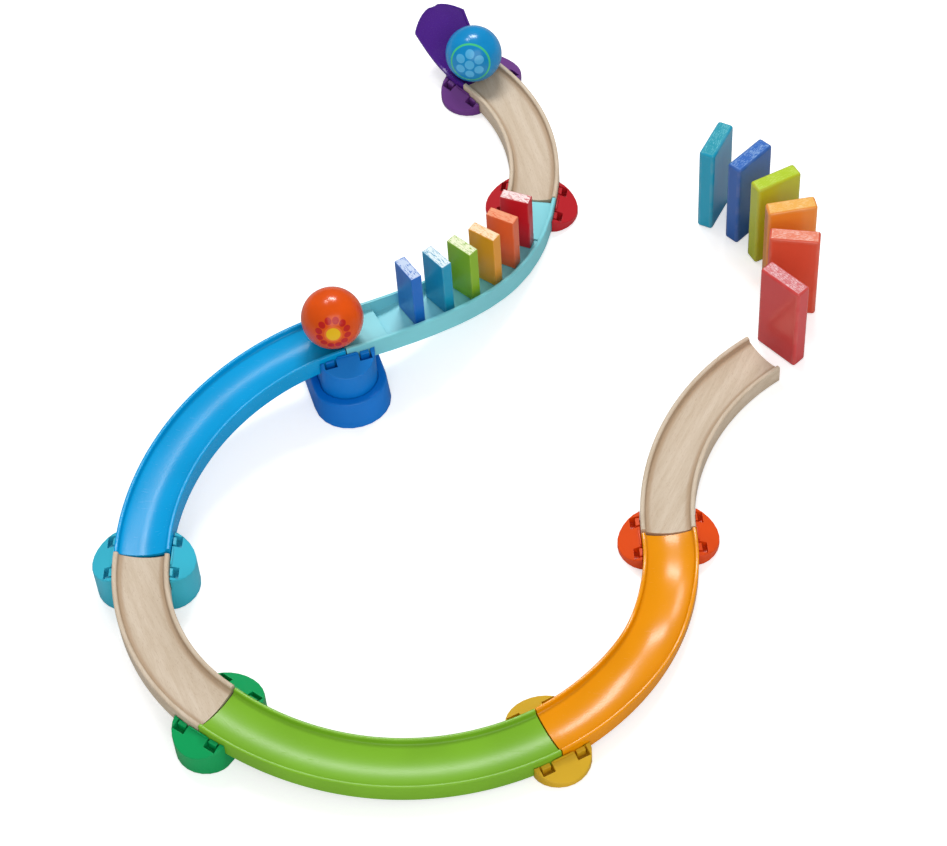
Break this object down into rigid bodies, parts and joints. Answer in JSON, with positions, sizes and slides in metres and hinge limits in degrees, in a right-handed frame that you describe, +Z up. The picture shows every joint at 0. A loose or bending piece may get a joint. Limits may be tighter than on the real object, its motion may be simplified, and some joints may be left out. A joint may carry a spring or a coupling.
{
  "type": "ball track",
  "caption": "Toy ball track of curved wooden and plastic channels on clip connectors, with a chute, a domino stair, rolling balls and a row of floor dominoes.",
  "frame": {"origin": "centre of the whole run's box, on the floor that it stands on", "axes": "+Z up from the floor, +Y from the domino row's near end towards the chute, +X to the right as the picture shows it"},
  "size_m": [0.5094, 0.715, 0.0937],
  "materials": {
    "beech": "bare fine-sanded beech",
    "blue": "moulded plastic with a satin gloss",
    "leaf": "moulded plastic with a satin gloss",
    "orange": "moulded plastic with a satin gloss",
    "purple": "moulded plastic with a satin gloss",
    "aqua": "moulded plastic with a satin gloss",
    "lilac": "moulded plastic with a satin gloss",
    "red": "moulded plastic with a satin gloss",
    "sky": "moulded plastic with a satin gloss",
    "turquoise": "moulded plastic with a satin gloss",
    "emerald": "moulded plastic with a satin gloss",
    "yellow": "moulded plastic with a satin gloss",
    "vermilion": "moulded plastic with a satin gloss",
    "navy": "moulded plastic with a satin gloss",
    "paint_stair_red": "wood with a coloured stain on its sides and paler end grain",
    "paint_stair_orange": "wood with a coloured stain on its sides and paler end grain",
    "paint_stair_amber": "wood with a coloured stain on its sides and paler end grain",
    "paint_stair_green": "wood with a coloured stain on its sides and paler end grain",
    "paint_stair_teal": "wood with a coloured stain on its sides and paler end grain",
    "paint_stair_blue": "wood with a coloured stain on its sides and paler end grain",
    "paint_floor_red": "wood with a coloured stain on its sides and paler end grain",
    "paint_floor_coral": "wood with a coloured stain on its sides and paler end grain",
    "paint_floor_amber": "wood with a coloured stain on its sides and paler end grain",
    "paint_floor_lime": "wood with a coloured stain on its sides and paler end grain",
    "paint_floor_blue": "wood with a coloured stain on its sides and paler end grain",
    "paint_floor_teal": "wood with a coloured stain on its sides and paler end grain",
    "ball_blue": "smooth glossy plastic",
    "ball_orange": "smooth glossy plastic"
  },
  "bodies": {
    "track": {"wood_curve_1": "beech", "blue_curve": "blue", "wood_curve_2": "beech", "green_curve": "leaf", "orange_curve": "orange", "wood_curve_3": "beech", "start_chute": "purple", "domino_stair": "aqua", "start_connector": "lilac", "red_connector": "red", "blue_connector": "sky", "turquoise_connector": "turquoise", "green_connector": "emerald", "yellow_connector": "yellow", "orange_connector": "vermilion", "riser_base": "navy"},
    "stair_domino_red": {"stair_domino_red": "paint_stair_red"},
    "stair_domino_orange": {"stair_domino_orange": "paint_stair_orange"},
    "stair_domino_amber": {"stair_domino_amber": "paint_stair_amber"},
    "stair_domino_green": {"stair_domino_green": "paint_stair_green"},
    "stair_domino_teal": {"stair_domino_teal": "paint_stair_teal"},
    "stair_domino_blue": {"stair_domino_blue": "paint_stair_blue"},
    "floor_domino_red": {"floor_domino_red": "paint_floor_red"},
    "floor_domino_coral": {"floor_domino_coral": "paint_floor_coral"},
    "floor_domino_amber": {"floor_domino_amber": "paint_floor_amber"},
    "floor_domino_lime": {"floor_domino_lime": "paint_floor_lime"},
    "floor_domino_blue": {"floor_domino_blue": "paint_floor_blue"},
    "floor_domino_teal": {"floor_domino_teal": "paint_floor_teal"},
    "blue_ball": {"blue_ball": "ball_blue"},
    "orange_ball": {"orange_ball": "ball_orange"}
  },
  "joints": [
    {"name": "stair_tip_red", "type": "hinge", "parent": "track", "child": "stair_domino_red", "pos_m": [0.02857, 0.12319, 0.01076], "axis": [0.9491, -0.315, 0], "range_deg": [0, 42]},
    {"name": "stair_tip_orange", "type": "hinge", "parent": "track", "child": "stair_domino_orange", "pos_m": [0.01865, 0.10004, 0.01511], "axis": [0.902, -0.4318, 0], "range_deg": [0, 42]},
    {"name": "stair_tip_amber", "type": "hinge", "parent": "track", "child": "stair_domino_amber", "pos_m": [0.00589, 0.07832, 0.02174], "axis": [0.8406, -0.5417, 0], "range_deg": [0, 42]},
    {"name": "stair_tip_green", "type": "hinge", "parent": "track", "child": "stair_domino_green", "pos_m": [-0.00949, 0.05838, 0.02951], "axis": [0.7658, -0.6431, 0], "range_deg": [0, 42]},
    {"name": "stair_tip_teal", "type": "hinge", "parent": "track", "child": "stair_domino_teal", "pos_m": [-0.02726, 0.04052, 0.03696], "axis": [0.6789, -0.7342, 0], "range_deg": [0, 42]},
    {"name": "stair_tip_blue", "type": "hinge", "parent": "track", "child": "stair_domino_blue", "pos_m": [-0.04713, 0.02504, 0.0427], "axis": [0.5813, -0.8137, 0], "range_deg": [0, 42]},
    {"name": "floor_tip_red", "type": "hinge", "parent": "track", "child": "floor_domino_red", "pos_m": [0.23137, 0.03359, 0], "axis": [-0.7157, 0.6984, 0], "range_deg": [0, 55]},
    {"name": "floor_tip_coral", "type": "hinge", "parent": "track", "child": "floor_domino_coral", "pos_m": [0.23634, 0.07685, 0], "axis": [-0.9945, 0.1045, 0], "range_deg": [0, 55]},
    {"name": "floor_tip_amber", "type": "hinge", "parent": "track", "child": "floor_domino_amber", "pos_m": [0.23289, 0.1065, 0], "axis": [-0.9787, -0.2053, 0], "range_deg": [0, 55]},
    {"name": "floor_tip_lime", "type": "hinge", "parent": "track", "child": "floor_domino_lime", "pos_m": [0.22051, 0.13366, 0], "axis": [-0.8686, -0.4955, 0], "range_deg": [0, 55]},
    {"name": "floor_tip_blue", "type": "hinge", "parent": "track", "child": "floor_domino_blue", "pos_m": [0.2004, 0.15573, 0], "axis": [-0.6749, -0.7379, 0], "range_deg": [0, 55]},
    {"name": "floor_tip_teal", "type": "hinge", "parent": "track", "child": "floor_domino_teal", "pos_m": [0.1745, 0.17056, 0], "axis": [-0.4163, -0.9092, 0], "range_deg": [0, 55]},
    {"name": "blue_ball_roll", "type": "hinge", "parent": "track", "child": "blue_ball", "pos_m": [-0.11515, 0.19332, 0.017], "axis": [0, 0, -1], "range_deg": [0, 54]},
    {"name": "orange_ball_roll", "type": "hinge", "parent": "track", "child": "orange_ball", "pos_m": [-0.02982, -0.17631, 0.0475], "axis": [-0.0375, -0.0559, 0.9977], "range_deg": [0, 68]}
  ],
  "couplings": [
    {"joint": "stair_tip_orange", "follows": "stair_tip_red", "ratio": 1},
    {"joint": "stair_tip_amber", "follows": "stair_tip_red", "ratio": 1},
    {"joint": "stair_tip_green", "follows": "stair_tip_red", "ratio": 1},
    {"joint": "stair_tip_teal", "follows": "stair_tip_red", "ratio": 1},
    {"joint": "stair_tip_blue", "follows": "stair_tip_red", "ratio": 1},
    {"joint": "floor_tip_coral", "follows": "floor_tip_red", "ratio": 1},
    {"joint": "floor_tip_amber", "follows": "floor_tip_red", "ratio": 1},
    {"joint": "floor_tip_lime", "follows": "floor_tip_red", "ratio": 1},
    {"joint": "floor_tip_blue", "follows": "floor_tip_red", "ratio": 1},
    {"joint": "floor_tip_teal", "follows": "floor_tip_red", "ratio": 1}
  ]
}
